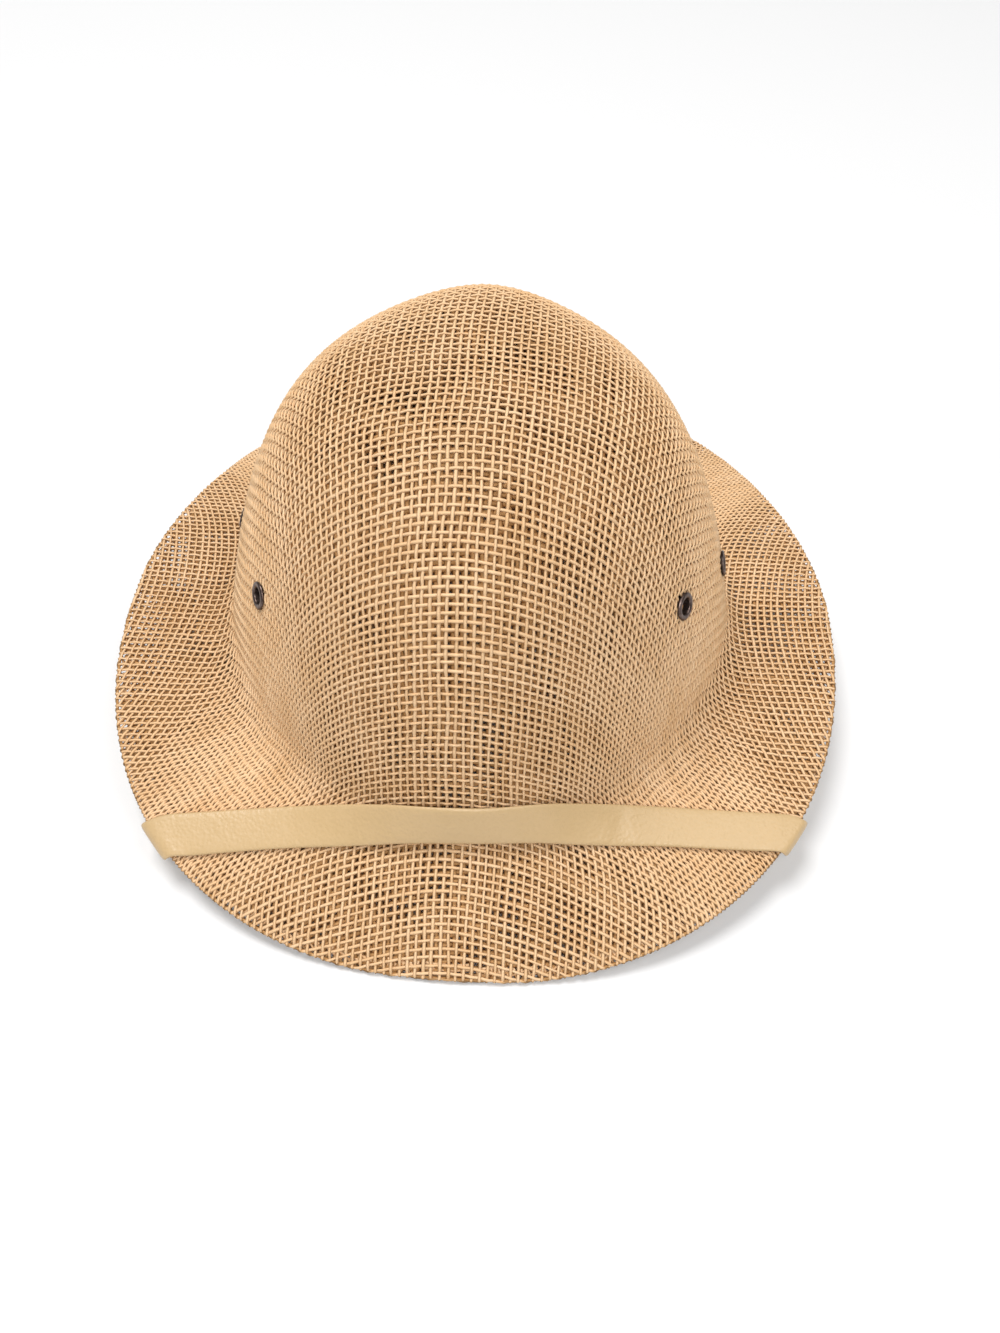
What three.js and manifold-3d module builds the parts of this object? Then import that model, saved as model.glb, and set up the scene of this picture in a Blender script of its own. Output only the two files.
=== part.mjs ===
// A pith helmet pressed from two layers of woven straw mesh: a tall crown with a low ridge over its top, a brim
// that is arched up at the sides and comes down to the ground at front and back, a chin strap worn over the
// front of the brim, and four metal vent eyelets.
// Units are millimetres and +Z is up. The front faces -Y, and the helmet rests on Z = 0.
// A bearing is an angle seen from above: 0 is the front, 90 is the side at +X.
import * as THREE from 'three';
import { mergeVertices } from 'three/addons/utils/BufferGeometryUtils.js';
import Module from 'manifold-3d';

// Brim, measured from the crown's centre
const BRIM_HALF_WIDTH = 140;
const BRIM_FRONT = 150;
const BRIM_BACK = 180;
const BRIM_FRONT_SQUARENESS = 2.35; // power of the plan curve, where 2 is an ellipse
const BRIM_BACK_SQUARENESS = 1.8;
const SIDE_RISE = 23.5; // how far the edge is arched up at the sides
const SIDE_RISE_POWER = 1.26;
const FLAT_EDGE_SHARE = 0.2; // sine of the bearing up to which the edge lies on the ground
const BRIM_DROOP = 0.85; // below 1 the brim steepens towards its edge
const EDGE_DEPTH = 2.3; // the edge's height
const EDGE_LAND = 1.6; // width of the edge's flat underside
const EDGE_CHAMFER = 0.5;

// Crown
const CROWN_HALF_WIDTH = 98.5;
const CROWN_FRONT = 111.5;
const CROWN_BACK = 88;
const CROWN_SQUARENESS = 1.8;
const CROWN_TOP = 147;
const CROWN_FULLNESS = 3.6; // powers of the dome's profile
const CROWN_WALL_CURVE = 1.15;
const FOOT_HEIGHT_ENDS = 31; // height of the corner between crown and brim at front and back
const FOOT_HEIGHT_SIDES = 24;
const FLARE = 11; // reach of the rounding between crown and brim
const RIDGE_HEIGHT = 2.8;
const RIDGE_SPREAD = 28;
const WALL = 2.6; // both layers of mesh

// Vent eyelets
const EYELETS = [
  { name: 'eyelet_front_left', bearing: -55.5, height: 77 },
  { name: 'eyelet_front_right', bearing: 58, height: 79.5 },
  { name: 'eyelet_rear_left', bearing: -93, height: 62 },
  { name: 'eyelet_rear_right', bearing: 87, height: 60 },
];
const EYELET_HOLE_RADIUS = 2.9;
const EYELET_BARREL_RADIUS = 3.6;
const EYELET_FLANGE_RADIUS = 4.9;
const EYELET_FLANGE_HEIGHT = 1.1;
const EYELET_CREST_SHARE = 0.5; // of the flange's width that its flat crest takes
const EYELET_RIM_SHARE = 0.4; // of its height at which it begins to round over at the rim
const EYELET_LIP_SHARE = 0.3; // and at the hole
const EYELET_WASHER_RADIUS = 4.7;
const EYELET_WASHER_HEIGHT = 0.7;
const EYELET_WASHER_CLEARANCE = 0.7; // a flat washer in a hollow wall
const EYELET_CLEARANCE = 0.3;
const EYELET_SIDES = 20;
const EYELET_BORE_LENGTH = 4 * WALL;

// Chin strap
const STRAP_WIDTH = 14.5;
const STRAP_THICKNESS = 1.3;
const STRAP_EDGE_TAPER = STRAP_THICKNESS / 3; // width over which its long edges come to a blunt point
const STRAP_CLEARANCE = 0.45;
const STRAP_UNDER_CLEARANCE = 1.1; // below the brim and inside the crown
const STRAP_FRONT = 111.2; // from the crown's centre to the strap's middle at the front
const STRAP_SKEW = 0.07; // the strap lies further forward at its left end
const STRAP_BOW = 8.4; // how far its ends lie behind its middle
const STRAP_BOW_MIDDLE = 4; // where it lies furthest forward
const STRAP_BOW_REACH = 37.5;
const STRAP_ENDS = [
  { side: -1, edgeBearing: 43, edgeSpread: 6.2, footBearing: 79, anchorBearing: 88 },
  { side: 1, edgeBearing: 50.5, edgeSpread: 5.8, footBearing: 81, anchorBearing: 90 },
];
const BRIM_EDGE_REACH = 0.75 * WALL; // from the middle of the brim's edge to its corners
const STRAP_EDGE_ALLOWANCE = 0.35; // the edge bulges between the strap's two sides
const STRAP_EDGE_TURN = 1.5; // degrees by which it moves back as it passes round the edge
const STRAP_ANCHOR_RISE = 17; // length of strap inside the crown, up from the foot
const RUNG_PROBES = [-1, -0.75, -0.5, -0.25, 0, 0.25, 0.5, 0.75, 1]; // as shares of its half width
const STRAP_STIFFNESS = 3; // stations to each side over which it evens out its twist
const STRAP_TOP_STEPS = 18; // on each side of the middle
const STRAP_TOP_END_GAP = 0.6; // from the last of them to the brim's edge, in steps
const STRAP_END_SKEW = 0.8; // how far its last stations are turned towards the line of the edge
const STRAP_EDGE_STEPS = 5;
const STRAP_UNDER_STEPS = 22;
const STRAP_FADE_SHARE = 0.35; // of the way from the edge to the anchor, where its stations turn square to it

// Fineness of the pressed shell
const SHELL_BEARINGS = 84;
const CROWN_ROWS = 12;
const FLARE_ROWS = 4;
const BRIM_ROWS = 5;

// Fineness of the sums
const HALVINGS = 40;
const FOOT_CORRECTIONS = 5;
const EDGE_MARGIN = 1; // how far inside the edge its normal is taken
const RUNG_STEP = 0.1; // share of a rung over which its direction is measured
const MERGE_DISTANCE = 1e-4;

const radians = THREE.MathUtils.degToRad;
const lerp = THREE.MathUtils.lerp;

const wasm = await Module();
wasm.setup();

// Distance from the crown's centre to a plan curve made of two half superellipses
function planRadius(bearing, halfWidth, front, back, frontPower, backPower) {
  const across = Math.abs(Math.sin(bearing));
  const along = Math.cos(bearing);
  const power = along > 0 ? frontPower : backPower;
  const reach = along > 0 ? front : back;
  return ((across / halfWidth) ** power + (Math.abs(along) / reach) ** power) ** (-1 / power);
}

function edgeRise(bearing) {
  const share = (Math.abs(Math.sin(bearing)) - FLAT_EDGE_SHARE) / (1 - FLAT_EDGE_SHARE);
  return SIDE_RISE * Math.max(share, 0) ** SIDE_RISE_POWER;
}

// The profile's sizes at one bearing
function section(bearing) {
  const footRadius = planRadius(
    bearing, CROWN_HALF_WIDTH, CROWN_FRONT, CROWN_BACK, CROWN_SQUARENESS, CROWN_SQUARENESS);
  const edgeRadius = planRadius(
    bearing, BRIM_HALF_WIDTH, BRIM_FRONT, BRIM_BACK, BRIM_FRONT_SQUARENESS, BRIM_BACK_SQUARENESS);
  const footHeight = lerp(FOOT_HEIGHT_ENDS, FOOT_HEIGHT_SIDES, Math.sin(bearing) ** 2);
  const edgeHeight = edgeRise(bearing) + EDGE_DEPTH;
  const flareShare = FLARE / (CROWN_TOP - footHeight);
  const flareTop = footRadius * (1 - flareShare ** CROWN_WALL_CURVE) ** (1 / CROWN_FULLNESS);
  const brimSlope = Math.atan2(footHeight - edgeHeight, edgeRadius - footRadius);
  const flareEnd = footRadius + FLARE * Math.cos(brimSlope);
  return { bearing, footRadius, edgeRadius, footHeight, edgeHeight, flareTop, flareEnd };
}

function crownHeight(at, radius) {
  const share = Math.min(radius / at.footRadius, 1);
  const rise = (1 - share ** CROWN_FULLNESS) ** (1 / CROWN_WALL_CURVE);
  const across = radius * Math.sin(at.bearing);
  const ridge = RIDGE_HEIGHT * Math.exp(-((across / RIDGE_SPREAD) ** 2));
  return at.footHeight + (CROWN_TOP - at.footHeight + ridge) * rise;
}

function brimHeight(at, radius) {
  const share = Math.max(at.edgeRadius - radius, 0) / (at.edgeRadius - at.footRadius);
  return at.edgeHeight + (at.footHeight - at.edgeHeight) * share ** BRIM_DROOP;
}

function curve(start, corner, end, share) {
  return start * (1 - share) ** 2 + corner * 2 * share * (1 - share) + end * share ** 2;
}

// Height of the helmet's outer surface
function surfaceHeight(at, radius) {
  if (radius <= at.flareTop) return crownHeight(at, radius);
  if (radius >= at.flareEnd) return brimHeight(at, radius);
  const a = at.flareTop - 2 * at.footRadius + at.flareEnd;
  const b = 2 * (at.footRadius - at.flareTop);
  const c = at.flareTop - radius;
  const share = (Math.sqrt(b * b - 4 * a * c) - b) / (2 * a);
  return curve(crownHeight(at, at.flareTop), at.footHeight, brimHeight(at, at.flareEnd), share);
}

function heightAt(x, y) {
  return surfaceHeight(section(Math.atan2(x, -y)), Math.hypot(x, y));
}

function pointAt(bearing, radius) {
  const at = section(bearing);
  return new THREE.Vector3(
    radius * Math.sin(bearing), -radius * Math.cos(bearing), surfaceHeight(at, radius));
}

// Outward normal, taken a little inside the edge where the surface ends
function normalAt(bearing, radius) {
  const step = 0.05;
  const inside = Math.min(radius, section(bearing).edgeRadius - EDGE_MARGIN);
  const x = inside * Math.sin(bearing);
  const y = -inside * Math.cos(bearing);
  const slopeX = (heightAt(x + step, y) - heightAt(x - step, y)) / (2 * step);
  const slopeY = (heightAt(x, y + step) - heightAt(x, y - step)) / (2 * step);
  return new THREE.Vector3(-slopeX, -slopeY, 1).normalize();
}

// A point at a depth below the outer surface, or above it where the depth is negative
function pointBelow(bearing, radius, depth) {
  return pointAt(bearing, radius).addScaledVector(normalAt(bearing, radius), -depth);
}

// Radius of the crown's wall at a height
function wallRadius(bearing, height) {
  const at = section(bearing);
  let low = 0;
  let high = at.flareEnd;
  for (let step = 0; step < HALVINGS; step += 1) {
    const middle = (low + high) / 2;
    if (surfaceHeight(at, middle) > height) low = middle;
    else high = middle;
  }
  return low;
}

// A closed solid from rings of points, each end closed by a fan to its own point
function ringSolid(rings, firstPoint, lastPoint) {
  const count = rings[0].length;
  const points = [firstPoint, ...rings.flat(), lastPoint];
  const last = points.length - 1;
  const index = [];
  for (let k = 0; k < count; k += 1) {
    const next = (k + 1) % count;
    index.push(0, 1 + next, 1 + k);
    for (let ring = 0; ring + 1 < rings.length; ring += 1) {
      const here = 1 + ring * count;
      const there = here + count;
      index.push(here + k, here + next, there + next, here + k, there + next, there + k);
    }
    index.push(last, last - count + k, last - count + next);
  }
  const geometry = new THREE.BufferGeometry().setFromPoints(points);
  geometry.setIndex(index);
  return geometry;
}

function solidOf(geometry) {
  const bare = new THREE.BufferGeometry();
  bare.setAttribute('position', geometry.getAttribute('position'));
  bare.setIndex(geometry.getIndex());
  const merged = mergeVertices(bare, MERGE_DISTANCE);
  return new wasm.Manifold(new wasm.Mesh({
    numProp: 3,
    vertProperties: merged.attributes.position.array,
    triVerts: new Uint32Array(merged.index.array),
  }));
}

function geometryOf(solid) {
  const mesh = solid.getMesh();
  const geometry = new THREE.BufferGeometry();
  geometry.setAttribute('position', new THREE.BufferAttribute(mesh.vertProperties, 3));
  geometry.setIndex(new THREE.BufferAttribute(mesh.triVerts, 1));
  return geometry;
}

// Radii of the shell's rows at one bearing, from the top of the crown to the edge
function rowRadii(bearing) {
  const at = section(bearing);
  const lowest = Math.acos((at.flareTop / at.footRadius) ** (CROWN_FULLNESS / 2));
  const radii = [];
  for (let row = 1; row <= CROWN_ROWS; row += 1) {
    const angle = lerp(Math.PI / 2, lowest, row / CROWN_ROWS);
    const radius = at.footRadius * Math.cos(angle) ** (2 / CROWN_FULLNESS);
    if (row === 1) radii.push(radius / 2);
    radii.push(radius);
  }
  for (let row = 1; row <= FLARE_ROWS; row += 1) {
    radii.push(curve(at.flareTop, at.footRadius, at.flareEnd, row / FLARE_ROWS));
  }
  for (let row = 1; row <= BRIM_ROWS; row += 1) {
    radii.push(lerp(at.flareEnd, at.edgeRadius, row / BRIM_ROWS));
  }
  return radii;
}

// The edge's underside, from its outer to its inner side
function edgeUnderside(bearing) {
  const at = section(bearing);
  const rise = edgeRise(bearing);
  const side = (inset, height) => new THREE.Vector3(
    (at.edgeRadius - inset) * Math.sin(bearing), -(at.edgeRadius - inset) * Math.cos(bearing), height);
  return [
    side(0, rise + EDGE_CHAMFER),
    side(EDGE_CHAMFER, rise),
    side(EDGE_CHAMFER + EDGE_LAND, rise),
  ];
}

function shellGeometry() {
  const columns = [];
  for (let k = 0; k < SHELL_BEARINGS; k += 1) {
    const bearing = (2 * Math.PI * k) / SHELL_BEARINGS;
    const radii = rowRadii(bearing);
    const outer = radii.map((radius) => pointAt(bearing, radius));
    const inner = radii.slice(0, -1).map((radius) => pointBelow(bearing, radius, WALL));
    columns.push([...outer, ...edgeUnderside(bearing), ...inner.reverse()]);
  }
  const rings = columns[0].map((_, row) => columns.map((column) => column[row]));
  const top = pointAt(0, 0);
  const shell = ringSolid(rings.reverse(), pointBelow(0, 0, WALL), top);
  let solid = solidOf(shell);
  for (const eyelet of EYELETS) solid = solid.subtract(solidOf(eyeletBore(eyelet)));
  return geometryOf(solid);
}

// Turns a geometry made along Y so that it stands on the crown's wall, its +Y side outwards
function onCrown(geometry, eyelet) {
  const bearing = radians(eyelet.bearing);
  const radius = wallRadius(bearing, eyelet.height);
  const turn = new THREE.Quaternion().setFromUnitVectors(
    new THREE.Vector3(0, 1, 0), normalAt(bearing, radius));
  geometry.applyQuaternion(turn);
  const seat = pointAt(bearing, radius);
  return geometry.translate(seat.x, seat.y, seat.z);
}

function eyeletBore(eyelet) {
  const radius = EYELET_BARREL_RADIUS + EYELET_CLEARANCE;
  const bore = new THREE.CylinderGeometry(radius, radius, EYELET_BORE_LENGTH, EYELET_SIDES);
  bore.translate(0, -WALL / 2, 0);
  bore.deleteAttribute('uv');
  bore.deleteAttribute('normal');
  return onCrown(bore, eyelet);
}

// Barrel through the wall, rolled flange outside and flat washer inside
function eyeletGeometry(eyelet) {
  const seat = EYELET_CLEARANCE;
  const crest = seat + EYELET_FLANGE_HEIGHT;
  const washerTop = -WALL - EYELET_WASHER_CLEARANCE;
  const washerFoot = washerTop - EYELET_WASHER_HEIGHT;
  const flangeMiddle = (EYELET_HOLE_RADIUS + EYELET_FLANGE_RADIUS) / 2;
  const profile = [
    [EYELET_HOLE_RADIUS, washerFoot],
    [EYELET_WASHER_RADIUS, washerFoot],
    [EYELET_WASHER_RADIUS, washerTop],
    [EYELET_BARREL_RADIUS, washerTop],
    [EYELET_BARREL_RADIUS, seat],
    [EYELET_FLANGE_RADIUS, seat],
    [EYELET_FLANGE_RADIUS, lerp(seat, crest, EYELET_RIM_SHARE)],
    [lerp(flangeMiddle, EYELET_FLANGE_RADIUS, EYELET_CREST_SHARE), crest],
    [lerp(flangeMiddle, EYELET_HOLE_RADIUS, EYELET_CREST_SHARE), crest],
    [EYELET_HOLE_RADIUS, lerp(seat, crest, EYELET_LIP_SHARE)],
    [EYELET_HOLE_RADIUS, washerFoot],
  ].map(([radius, height]) => new THREE.Vector2(radius, height));
  const lathe = new THREE.LatheGeometry(profile, EYELET_SIDES);
  lathe.deleteAttribute('uv');
  lathe.deleteAttribute('normal');
  return onCrown(mergeVertices(lathe, MERGE_DISTANCE), eyelet);
}

// The strap over the brim: it bridges the flare at the front and lies on the brim beside it
function strapMiddle(x) {
  const share = (x - STRAP_BOW_MIDDLE) / STRAP_BOW_REACH;
  const bow = STRAP_BOW * (1 - Math.exp(-(share ** 2)));
  return -STRAP_FRONT + STRAP_SKEW * x + bow;
}

// Inclination at which both long edges of the strap touch the helmet
function strapSlope(x, y) {
  let low = 0;
  let high = Math.PI / 2;
  for (let step = 0; step < HALVINGS; step += 1) {
    const slope = (low + high) / 2;
    const reach = (STRAP_WIDTH / 2) * Math.cos(slope);
    const climb = heightAt(x, y + reach) - heightAt(x, y - reach);
    if (climb > STRAP_WIDTH * Math.sin(slope)) low = slope;
    else high = slope;
  }
  return low;
}

function evened(values) {
  return values.map((_, at) => {
    const near = values.slice(Math.max(at - STRAP_STIFFNESS, 0), at + STRAP_STIFFNESS + 1);
    return near.reduce((sum, value) => sum + value, 0) / near.length;
  });
}

// Frame of one station: its middle on the chord between its two sides, and its directions
function topFrame(x, slope, rungSkew) {
  const y = strapMiddle(x);
  const reach = (STRAP_WIDTH / 2) * Math.cos(slope);
  return {
    middle: new THREE.Vector3(x, y, (heightAt(x, y + reach) + heightAt(x, y - reach)) / 2),
    normal: new THREE.Vector3(0, -Math.sin(slope), Math.cos(slope)),
    rung: new THREE.Vector3(rungSkew, Math.cos(slope), Math.sin(slope)).multiplyScalar(STRAP_WIDTH / 2),
  };
}

// How far a station has to stand off so that nothing of it is below the helmet's surface
function topLift(frame) {
  const depths = RUNG_PROBES.map((share) => {
    const probe = frame.middle.clone().addScaledVector(frame.rung, share);
    return (heightAt(probe.x, probe.y) - probe.z) * frame.normal.z;
  });
  return Math.max(...depths);
}

// The stretch over the brim
function topStations() {
  const shares = [];
  for (let step = -STRAP_TOP_STEPS; step <= STRAP_TOP_STEPS; step += 1) {
    shares.push(step / (STRAP_TOP_STEPS + STRAP_TOP_END_GAP));
  }
  const places = shares.map((share) => {
    const end = STRAP_ENDS[share < 0 ? 0 : 1];
    const bearing = radians(end.edgeBearing);
    return share * (section(bearing).edgeRadius * Math.sin(bearing) - WALL);
  });
  const slopes = evened(places.map((x) => strapSlope(x, strapMiddle(x))));
  const frames = places.map((x, at) => topFrame(
    x, slopes[at], STRAP_END_SKEW * shares[at] * Math.abs(shares[at])));
  const lifts = frames.map(topLift);
  const highest = lifts.map((_, at) => Math.max(...lifts.slice(Math.max(at - 1, 0), at + 2)));
  const even = evened(highest);
  return frames.map(({ middle, normal, rung }, at) => {
    const lift = Math.max(even[at], lifts[at]) + STRAP_CLEARANCE + STRAP_THICKNESS / 2;
    middle.addScaledVector(normal, lift);
    return { back: middle.clone().add(rung), front: middle.clone().sub(rung), normal };
  });
}

// A point of the strap as it passes round the brim's edge, turn running from 0 on top to 1 below
function edgeWrapPoint(bearing, turn) {
  const at = section(bearing);
  const up = normalAt(bearing, at.edgeRadius);
  const out = new THREE.Vector3(Math.sin(bearing), -Math.cos(bearing), 0);
  out.addScaledVector(up, -out.dot(up)).normalize();
  const core = pointBelow(bearing, at.edgeRadius - WALL / 2, WALL / 2);
  const radius = BRIM_EDGE_REACH + STRAP_CLEARANCE + STRAP_EDGE_ALLOWANCE + STRAP_THICKNESS / 2;
  const angle = Math.PI * turn;
  const normal = up.clone().multiplyScalar(Math.cos(angle)).addScaledVector(out, Math.sin(angle));
  return { point: core.addScaledVector(normal, radius), normal };
}

function wrapStations(end) {
  const stations = [];
  for (let step = 0; step <= STRAP_EDGE_STEPS; step += 1) {
    const turn = step / STRAP_EDGE_STEPS;
    const middle = end.edgeBearing + STRAP_EDGE_TURN * turn;
    const back = edgeWrapPoint(end.side * radians(middle + end.edgeSpread / 2), turn);
    const front = edgeWrapPoint(end.side * radians(middle - end.edgeSpread / 2), turn);
    const normal = back.normal.clone().add(front.normal).normalize();
    stations.push({ back: back.point, front: front.point, normal });
  }
  return stations;
}

// Distance from a point inside the shell to the outer surface
function depthOf(point) {
  const foot = point.clone();
  for (let step = 0; step < FOOT_CORRECTIONS; step += 1) {
    const normal = normalAt(Math.atan2(foot.x, -foot.y), Math.hypot(foot.x, foot.y));
    foot.addScaledVector(normal, (heightAt(foot.x, foot.y) - foot.z) * normal.z);
  }
  return foot.distanceTo(point);
}

// A place on the outer surface by how far it lies from the foot, out along the brim or up the wall
function placeFromFoot(bearing, fromFoot) {
  const at = section(bearing);
  let radius = curve(at.flareTop, at.footRadius, at.flareEnd, (fromFoot + FLARE) / (2 * FLARE));
  if (fromFoot > FLARE) radius = at.flareEnd + fromFoot - FLARE;
  if (fromFoot < -FLARE) radius = wallRadius(bearing, at.footHeight - fromFoot);
  return { point: pointAt(bearing, radius), normal: normalAt(bearing, radius) };
}

// A station of the strap on the inner side of the shell, its rung given as bearing and distance from the foot
function underStation(bearing, fromFoot, rungBearing, rungFromFoot) {
  const middle = placeFromFoot(bearing, fromFoot);
  const stepBearing = RUNG_STEP * rungBearing;
  const stepFromFoot = RUNG_STEP * rungFromFoot;
  const ahead = placeFromFoot(bearing + stepBearing, fromFoot + stepFromFoot);
  const behind = placeFromFoot(bearing - stepBearing, fromFoot - stepFromFoot);
  const rung = ahead.point.sub(behind.point).divideScalar(2 * RUNG_STEP);
  rung.addScaledVector(middle.normal, -rung.dot(middle.normal));
  const depth = WALL + STRAP_UNDER_CLEARANCE + STRAP_THICKNESS / 2;
  const centre = middle.point.clone().addScaledVector(middle.normal, -depth);
  let lift = 0;
  for (const share of RUNG_PROBES) {
    lift = Math.max(lift, depth - depthOf(centre.clone().addScaledVector(rung, share)));
  }
  centre.addScaledVector(middle.normal, -lift);
  return {
    back: centre.clone().add(rung),
    front: centre.clone().sub(rung),
    normal: middle.normal.clone().negate(),
  };
}

// From the brim's edge back to the inside of the crown, the plain way round
function underStations(end) {
  const half = STRAP_WIDTH / 2;
  const start = radians(end.edgeBearing + STRAP_EDGE_TURN);
  const foot = radians(end.footBearing);
  const anchor = radians(end.anchorBearing);
  const startSection = section(start);
  const run = startSection.edgeRadius - startSection.footRadius - EDGE_LAND - WALL;
  const stations = [];
  for (let step = 1; step <= STRAP_UNDER_STEPS; step += 1) {
    const share = step / STRAP_UNDER_STEPS;
    const bearing = lerp(start, anchor, share);
    let fromFoot = (run * (foot - bearing)) / (foot - start);
    if (bearing > foot) fromFoot = (-STRAP_ANCHOR_RISE * (bearing - foot)) / (anchor - foot);
    const metric = section(bearing).footRadius + Math.max(fromFoot, 0);
    const ahead = new THREE.Vector2(metric * (foot - start), -run).normalize();
    const fade = Math.min(share / STRAP_FADE_SHARE, 1);
    const rungBearing = lerp(radians(end.edgeSpread) / 2, (-half * ahead.y) / metric, fade);
    const rungFromFoot = lerp(0, half * ahead.x, fade);
    stations.push(underStation(
      end.side * bearing, fromFoot, end.side * rungBearing, rungFromFoot));
  }
  return stations;
}

function strapStations() {
  const [left, right] = STRAP_ENDS.map((end) => [...wrapStations(end), ...underStations(end)]);
  return [...left.reverse(), ...topStations(), ...right];
}

// Six points round the strap at one station, with its long edges brought to a blunt point
function strapRing(station) {
  const across = station.back.clone().sub(station.front).normalize();
  const half = station.normal.clone().multiplyScalar(STRAP_THICKNESS / 2);
  const backCorner = station.back.clone().addScaledVector(across, -STRAP_EDGE_TAPER);
  const frontCorner = station.front.clone().addScaledVector(across, STRAP_EDGE_TAPER);
  return [
    station.back,
    backCorner.clone().add(half),
    frontCorner.clone().add(half),
    station.front,
    frontCorner.clone().sub(half),
    backCorner.clone().sub(half),
  ];
}

function strapGeometry() {
  const rings = strapStations().map(strapRing);
  const centre = (ring) => ring
    .reduce((sum, point) => sum.add(point), new THREE.Vector3())
    .divideScalar(ring.length);
  return ringSolid(rings, centre(rings[0]), centre(rings.at(-1)));
}

const STRAW = new THREE.MeshStandardMaterial({ color: 0xe3bb88, roughness: 0.75, metalness: 0 });
const STRAP = new THREE.MeshStandardMaterial({ color: 0xc8a878, roughness: 0.45, metalness: 0 });
const GUNMETAL = new THREE.MeshStandardMaterial({ color: 0x4b4440, roughness: 0.35, metalness: 0.9 });

function named(name, geometry, material) {
  geometry.computeVertexNormals();
  const mesh = new THREE.Mesh(geometry, material);
  mesh.name = name;
  return mesh;
}

const helmet = new THREE.Group();
helmet.add(named('shell', shellGeometry(), STRAW));
helmet.add(named('chin_strap', strapGeometry(), STRAP));
for (const eyelet of EYELETS) helmet.add(named(eyelet.name, eyeletGeometry(eyelet), GUNMETAL));
// The origin is under the middle of the brim's length
helmet.position.y = (BRIM_FRONT - BRIM_BACK) / 2;

const part = new THREE.Group();
part.add(helmet);
export default part;
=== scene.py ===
"""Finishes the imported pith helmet: the woven straw shell, the chin strap, the vent eyelets and the stage.

The front of the helmet faces -Y. A bearing is an angle seen from above, 0 at the front and 90 at +X.
The shape is worked out in millimetres from the crown's centre, and becomes metres as a mesh is made.
"""
import math

import bmesh
import bpy
import numpy as np
from mathutils import Matrix, Vector


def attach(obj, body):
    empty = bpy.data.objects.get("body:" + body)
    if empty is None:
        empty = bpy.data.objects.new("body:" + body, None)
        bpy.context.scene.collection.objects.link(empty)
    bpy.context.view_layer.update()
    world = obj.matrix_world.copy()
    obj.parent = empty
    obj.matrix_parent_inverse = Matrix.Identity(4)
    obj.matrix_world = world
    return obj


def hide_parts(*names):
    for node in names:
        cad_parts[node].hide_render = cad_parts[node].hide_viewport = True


bl_info = {
    "name": "Pith helmet",
    "version": (1, 0, 0),
    "blender": (4, 5, 0),
    "location": "View3D > Sidebar > Pith helmet",
    "description": "Weaves the straw shell and finishes the strap, the eyelets and the stage",
    "category": "Object",
}

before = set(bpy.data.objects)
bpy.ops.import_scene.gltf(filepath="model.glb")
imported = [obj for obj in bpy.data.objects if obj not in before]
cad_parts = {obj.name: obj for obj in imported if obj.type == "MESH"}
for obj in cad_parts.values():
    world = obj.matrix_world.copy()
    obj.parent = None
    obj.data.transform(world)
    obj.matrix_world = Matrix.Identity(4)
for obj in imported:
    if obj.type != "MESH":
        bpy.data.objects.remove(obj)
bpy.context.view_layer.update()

MM = 0.001
BODY = "root"

# Brim, measured from the crown's centre
BRIM_HALF_WIDTH = 140.0
BRIM_FRONT = 150.0
BRIM_BACK = 180.0
BRIM_FRONT_SQUARENESS = 2.35
BRIM_BACK_SQUARENESS = 1.8
SIDE_RISE = 23.5
SIDE_RISE_POWER = 1.26
FLAT_EDGE_SHARE = 0.2
BRIM_DROOP = 0.85
EDGE_DEPTH = 2.3

# Crown
CROWN_HALF_WIDTH = 98.5
CROWN_FRONT = 111.5
CROWN_BACK = 88.0
CROWN_SQUARENESS = 1.8
CROWN_TOP = 147.0
CROWN_FULLNESS = 3.6
CROWN_WALL_CURVE = 1.15
FOOT_HEIGHT_ENDS = 31.0
FOOT_HEIGHT_SIDES = 24.0
FLARE = 11.0
RIDGE_HEIGHT = 2.8
RIDGE_SPREAD = 28.0
WALL = 2.6

# The row's origin lies under the middle of the brim, behind the crown's centre
CENTRE_Y = (BRIM_FRONT - BRIM_BACK) / 2

# Eyelets
EYELETS = {
    "eyelet_front_left": {"bearing": -55.5, "height": 77.0},
    "eyelet_front_right": {"bearing": 58.0, "height": 79.5},
    "eyelet_rear_left": {"bearing": -93.0, "height": 62.0},
    "eyelet_rear_right": {"bearing": 87.0, "height": 60.0},
}
EYELET_BORE = 3.7  # radius of the hole that the straw leaves for an eyelet
EYELET_REACH = 3 * WALL  # to each side of the crown's wall where strands are tested against that hole
EYELET_SEGMENTS = 48
RING_SEGMENTS = 14
FLANGE_FLATNESS = 0.62  # height of the rolled flange as a share of a round one's
FLANGE_RISE = 0.3  # of its middle above the crown
WASHER_FLATNESS = 0.45
WASHER_INSET = 0.3
WASHER_DROP = 0.75  # of its middle below the wall
BARREL_WALL = 0.5
BARREL_INSET = 0.35  # of the barrel's middle from the hole
BARREL_RISE = 0.5
BARREL_DROP = 0.7

# Strap
STRAP_FACE_LENGTH = 8.0  # faces of the band are longer, and those of its narrow sides shorter
MERGE_DISTANCE = 0.02
QUAD_ANGLE = math.radians(40)
SMOOTH_ANGLE = math.radians(40)

# Search for points on the surface
HALVINGS = 40
SEATING_STEPS = 4
SOLVING_STEPS = 10
SOLVING_DAMPING = 1e-4
LONGEST_STEP = 0.3  # in pitches
NORMAL_STEP = 0.02  # between the points that give a slope
NO_LENGTH = 1e-9  # keeps a length off zero where it divides

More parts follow.
